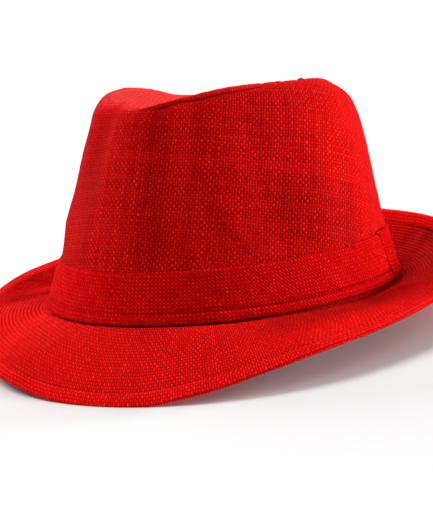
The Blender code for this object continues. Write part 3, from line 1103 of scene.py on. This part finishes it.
def make_brim(material):
    turn = ring_turns(BRIM_AROUND)
    hem_start = 1 - HEM_WIDTH / BRIM_WIDTH
    body = np.linspace(0, hem_start - 0.012, BODY_ROWS)
    outs = np.concatenate([body, np.linspace(hem_start - 0.006, 0.992, HEM_ROWS)])
    face, out_share = brim_face(turn, outs)
    up = facing_up(-normals(face))
    edge = BRIM_WIDTH * (1 - out_share)
    side = np.maximum(eased(12, -28, turn), eased(42, 95, turn))
    back_left = eased(100, 120, turn) * eased(178, 145, turn)
    plain = back_left * eased(0.30, 0.55, out_share)
    on_body = eased(HEM_WIDTH, HEM_WIDTH + 1.5, edge) * eased(0.0, 0.05, out_share)
    place = edge * (FRONT_ROWS - (FRONT_ROWS - 1) * side) + ripples(face, BRIM_ROW_RIPPLES)
    waves = (0.75 + ripples(face, RIDGE_RIPPLES)) * on_body * np.cos(2 * math.pi * place / BRIM_YARN[1])
    ridge = (RIDGE_FRONT + (RIDGE_SIDE - RIDGE_FRONT) * side) * (1 - 0.8 * plain)
    groove = hump(edge, HEM_WIDTH, 0.55)
    padded = 0.40 * eased(HEM_WIDTH + 0.2, HEM_WIDTH - 1.6, edge)
    relief = ripples(face, BRIM_RIPPLES) - ridge * waves - 0.10 * groove + padded
    thickness = BRIM_CLOTH + (HEM_CLOTH - BRIM_CLOTH) * eased(HEM_WIDTH + 1, HEM_WIDTH - 0.5, edge)
    under = face - up * (thickness - 0.3 * groove)[..., None]
    last = SEAM_ROWS + BODY_ROWS
    few = np.concatenate([picked(last, 16), np.arange(last + 3, face.shape[1], 3)])
    edge_rows = 7
    grid = cloth_section(face + up * relief[..., None], under[:, few], edge_rows)
    length = round_length(face, 2 * BRIM_YARN[0])
    uv = joined(length[:, None], wrapped(place))
    uv = section_uv(uv, HEM_CLOTH * 1.5, edge_rows, few)
    # Painted shade in mottled patches over the outer brim at the back on the left.
    painted_patch_shade = plain * on_body * (0.34 + ripples(face, PATCH_RIPPLES))
    shade = brim_shade(turn, out_share, edge, side * (1 - plain) * waves, back_left, painted_patch_shade)
    shade = section_shade(shade, edge_rows, few)
    brim = add_loop_grid("brim_cloth", grid, uv, True, material, shade)
    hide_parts("brim")


# Band


def make_band(material):
    turn = ring_turns(AROUND)
    share = np.concatenate([np.linspace(0, 0.36, 34), np.linspace(0.375, 1, 38)])[None]
    shift = ripples(band_point(turn, 0.0, 0.0), TUCK_RIPPLES)
    wavy = np.clip(share - shift * eased(0, 0.1, share), 0, 1)
    offset = lookup(BAND_PROFILE, "offset", wavy)
    loose = np.maximum(eased(-30, 15, turn), eased(-150, -178, turn))
    offset = offset * (BAND_CLOSE + (1 - BAND_CLOSE) * loose)
    face = band_point(turn, share, offset)
    face = face + base_outward(turn) * (ripples(face, BAND_RIPPLES) * eased(0.2, 0.9, offset))[..., None]
    few = picked(share.shape[1] - 1, 8)
    back = band_point(turn, share[:, few], GAP / 2)
    edge_rows = 5
    grid = cloth_section(face, back, edge_rows)
    length = round_length(face, 2 * math.sqrt(2) * YARN[0])
    uv = turned(joined(length[:, None], BAND_HEIGHT * share), BAND_GRAIN)
    # Painted shade in the band's fold line and a painted highlight on the roll below it, both stronger on
    # the left; painted light on the band's right side.
    fold = eased(5, 50, turn) * eased(179, 150, turn)
    shade = 1 - (0.15 + 0.25 * fold) * hump(share, 0.185, 0.03) + 0.18 * hump(share, 0.125, 0.03) * fold
    shade = shade + 0.22 * eased(14, -28, turn) * (0.45 + 0.55 * eased(0.1, 0.5, share))
    shade = section_shade(shade, edge_rows, few)
    uv = section_uv(uv, 1.5, edge_rows, few)
    band = add_loop_grid("hat_band_cloth", grid, uv, True, material, shade)
    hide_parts("hat_band")


def add_on_band(name, turn, share, offset, back_offset, shade, material):
    """A capped piece of cloth that lies on the band. shade is for its outer face, and the rest is plain."""
    grid = cloth_section(band_point(turn, share, offset), band_point(turn, share, back_offset), CAP_ROWS)
    uv = section_uv(joined(turn * 1.5, share * BAND_HEIGHT), 1.2, CAP_ROWS)
    shade = np.concatenate([shade, np.ones((len(shade), grid.shape[1] - shade.shape[1]))], 1)
    return add_loop_grid(name, grid, uv, False, material, shade)


def make_fold(material):
    """The folded end of the band: a triangle of cloth that widens towards the knot."""
    along = np.linspace(0.03, 1, 90)[:, None]
    t = np.linspace(0, 1, 36)[None]
    low = 1 - (1 - FOLD_LOW) * along
    share = low + (0.995 - low) * t
    turn = knot_turn(share) + FOLD_OVERLAP - FOLD_SPAN * (1 - along) + 0.8 * along
    lie = 1.52 + 0.65 * np.sin(math.pi * t).clip(0) ** 0.5 * eased(0.03, 0.25, along)
    lie = lie + 0.28 * hump(t, 0, 0.12) * eased(0.05, 0.3, along)
    # Painted highlight along the fold's lower edge.
    shade = np.broadcast_to(1 + 0.40 * hump(t, 0, 0.07), share.shape)
    fold = add_on_band("band_fold_cloth", turn, share, lie, 1.1, shade, material)
    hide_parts("band_fold")


def make_knot(material):
    """The gathered tab that wraps the band beside the fold, ribbed over its lower two thirds."""
    t = np.linspace(0, 1, 150)[None]
    across = np.linspace(0, 1, 60)[:, None]
    share = 0.02 + 1.03 * t
    sag = 0.7 * np.sin(3 * math.pi * t) + 0.25 * np.sin(7 * math.pi * t + 1)
    turn = knot_turn(share) + KNOT_SPAN * across + 0.5 * sag * (0.5 - across)
    rib = np.abs(np.sin(math.pi * KNOT_RIBS * (t + 0.012 * np.sin(9 * t + 5 * across)))) ** 0.8
    rib = rib + (0.75 - rib) * eased(0.66, 0.78, t)
    body = np.sin(math.pi * across).clip(0) ** 0.45
    closing = eased(0, 0.05, t) * eased(1.0, 0.96, t)
    thick = KNOT_CLOTH * (0.55 + 0.45 * rib) * body * (0.35 + 0.65 * closing)
    lift = 1.5 + 0.7 * eased(0.3, 0.0, t) + thick - 0.7 * hump(t, 0.40, 0.03) * body
    # Painted shade in the hollows between the ribs, on a lighter ground.
    shade = 1.12 - 0.42 * (1 - rib) * body
    knot = add_on_band("band_knot_cloth", turn, share, lift, 1.3, shade, material)
    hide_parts("band_knot")


# Stitches


def add_stitches(name, path, up, pitch, fill, radius, material):
    """Stitches along a closed path: each a short thread that comes out of the cloth and goes back in."""
    around = wrapped(path)
    upward = wrapped(up)
    length = lengths(around)
    count = round(length[-1] / pitch)
    pitch = length[-1] / count

    def at(s, values):
        s = np.mod(s, length[-1])
        return np.stack([np.interp(s, length, values[:, c]) for c in range(3)], -1)

    along = 9
    sides = 6
    t = np.linspace(0, 1, along)
    s = pitch * (np.arange(count)[:, None] + fill * t[None])
    lift = unit(at(s, upward))
    way = unit(at(s + 0.05, around) - at(s - 0.05, around))
    side = unit(np.cross(way, lift))
    arch = np.sin(math.pi * t).clip(0)[None, :, None]
    centre = at(s, around) + lift * radius * (2.2 * arch**0.5 - 1.4)
    thick = radius * arch**0.3
    angle = (2 * math.pi * np.arange(sides) / sides)[:, None]
    reach = np.cos(angle) * side[:, :, None] + np.sin(angle) * lift[:, :, None]
    rings = centre[:, :, None] + thick[:, :, None] * reach

    n, k, m = np.meshgrid(np.arange(count), np.arange(along - 1), np.arange(sides), indexing="ij")
    first = (n * along + k) * sides
    beside = (m + 1) % sides
    faces = np.stack([first + m, first + beside, first + sides + beside, first + sides + m], -1)
    corners = [joined(k + ahead, m + aside) for ahead, aside in ((0, 0), (0, 1), (1, 1), (1, 0))]
    uv = 0.4 * np.stack(corners, -2)
    faces = faces.reshape(-1, 4)
    stitches = add_mesh(name, rings.reshape(-1, 3), faces, uv.reshape(-1, 4, 2), material)
    weld = stitches.modifiers.new("close_ends", "WELD")
    weld.merge_threshold = 0.01 * METRE


def make_hem_stitches(material):
    turn = ring_turns(1200)
    out = 1 - HEM_WIDTH / BRIM_WIDTH
    near = brim_point(turn, np.array([[out - 0.01, out, out + 0.01]]))
    up = facing_up(-normals(near)[:, 1])
    add_stitches("hem_stitches", near[:, 1] + up * 0.02, up, *HEM_STITCH, material)


def make_edge_yarns(material):
    """The yarns that turn over the folded edge of the brim, each a small bump."""
    turn = ring_turns(1800)
    edge = brim_point(turn, np.array([[0.97, 0.98, 0.992]]))
    up = facing_up(-normals(edge)[:, 1])
    out = unit(edge[:, 2] - edge[:, 1])
    path = edge[:, 2] - up * HEM_CLOTH / 2 + out * (HEM_CLOTH / 2 - 0.15)
    add_stitches("edge_yarns", path, out, *EDGE_YARN, material)


# Stage


def direction(azimuth, elevation):
    """The way to a light or the camera: azimuth 0 is the hat's front and 90 the wearer's left."""
    a = math.radians(azimuth)
    e = math.radians(elevation)
    return Vector((math.sin(a) * math.cos(e), -math.cos(a) * math.cos(e), math.sin(e)))


def add_sun(name, azimuth, elevation, strength, spread):
    lamp = bpy.data.lights.new(name, "SUN")
    lamp.energy = strength
    lamp.angle = math.radians(spread)
    obj = bpy.data.objects.new(name, lamp)
    obj.location = direction(azimuth, elevation)
    obj.rotation_mode = "QUATERNION"
    obj.rotation_quaternion = direction(azimuth, elevation).to_track_quat("Z", "Y")
    bpy.context.scene.collection.objects.link(obj)


def make_stage():
    bpy.ops.mesh.primitive_plane_add(size=FLOOR_SIZE, location=(0, 0, 0))
    floor = bpy.context.object
    floor.name = "studio_floor"
    material, _, shader = new_material("floor_paper")
    grey = (FLOOR_GREY, FLOOR_GREY, FLOOR_GREY, 1)
    plug(shader, [("Base Color", grey), ("Roughness", 1.0), ("Specular IOR Level", 0.0)])
    floor.data.materials.append(material)

    sky = bpy.data.worlds.new("studio")
    sky.use_nodes = True
    plug(sky.node_tree.nodes["Background"], [("Color", (1, 1, 1, 1)), ("Strength", SKY_STRENGTH)])
    bpy.context.scene.world = sky
    bpy.context.scene.view_settings.view_transform = "Standard"
    for row in SUNS:
        add_sun(*row)


def make_camera():
    roll = math.radians(CAMERA_ROLL)
    back = direction(CAMERA_AZIMUTH, CAMERA_ELEVATION)
    right = direction(CAMERA_AZIMUTH + 90, 0)
    up = back.cross(right)
    across = right * math.cos(roll) + up * math.sin(roll)
    upward = up * math.cos(roll) - right * math.sin(roll)
    place = back * CAMERA_DISTANCE + across * CAMERA_SHIFT[0] + upward * CAMERA_SHIFT[1]
    lens = bpy.data.cameras.new("camera")
    lens.sensor_width = SENSOR
    lens.lens = SENSOR * FOCAL_PIXELS / FRAME_HEIGHT
    lens.clip_start = 0.01
    lens.clip_end = 100
    camera = bpy.data.objects.new("camera", lens)
    bpy.context.scene.collection.objects.link(camera)
    axes = Matrix((across, upward, back)).transposed().to_4x4()
    tilt = Matrix.Rotation(math.radians(REST_TILT), 4, "X")
    rest = Matrix.Translation(Vector(REST_PLACE) * METRE) @ tilt
    camera.matrix_world = rest @ Matrix.Translation(place * METRE) @ axes
    bpy.context.scene.camera = camera


cloths = {cloth["name"]: weave_material(cloth) for cloth in records(CLOTHS)}
thread = thread_material()

make_camera()
make_crown_side(cloths["crown_weave"])
make_crown_tip(cloths["tip_weave"])
make_welt(cloths["welt_weave"])
make_brim(cloths["brim_weave"])
make_band(cloths["band_weave"])
make_fold(cloths["band_weave"])
make_knot(cloths["band_weave"])
make_hem_stitches(thread)
make_edge_yarns(thread)
make_stage()
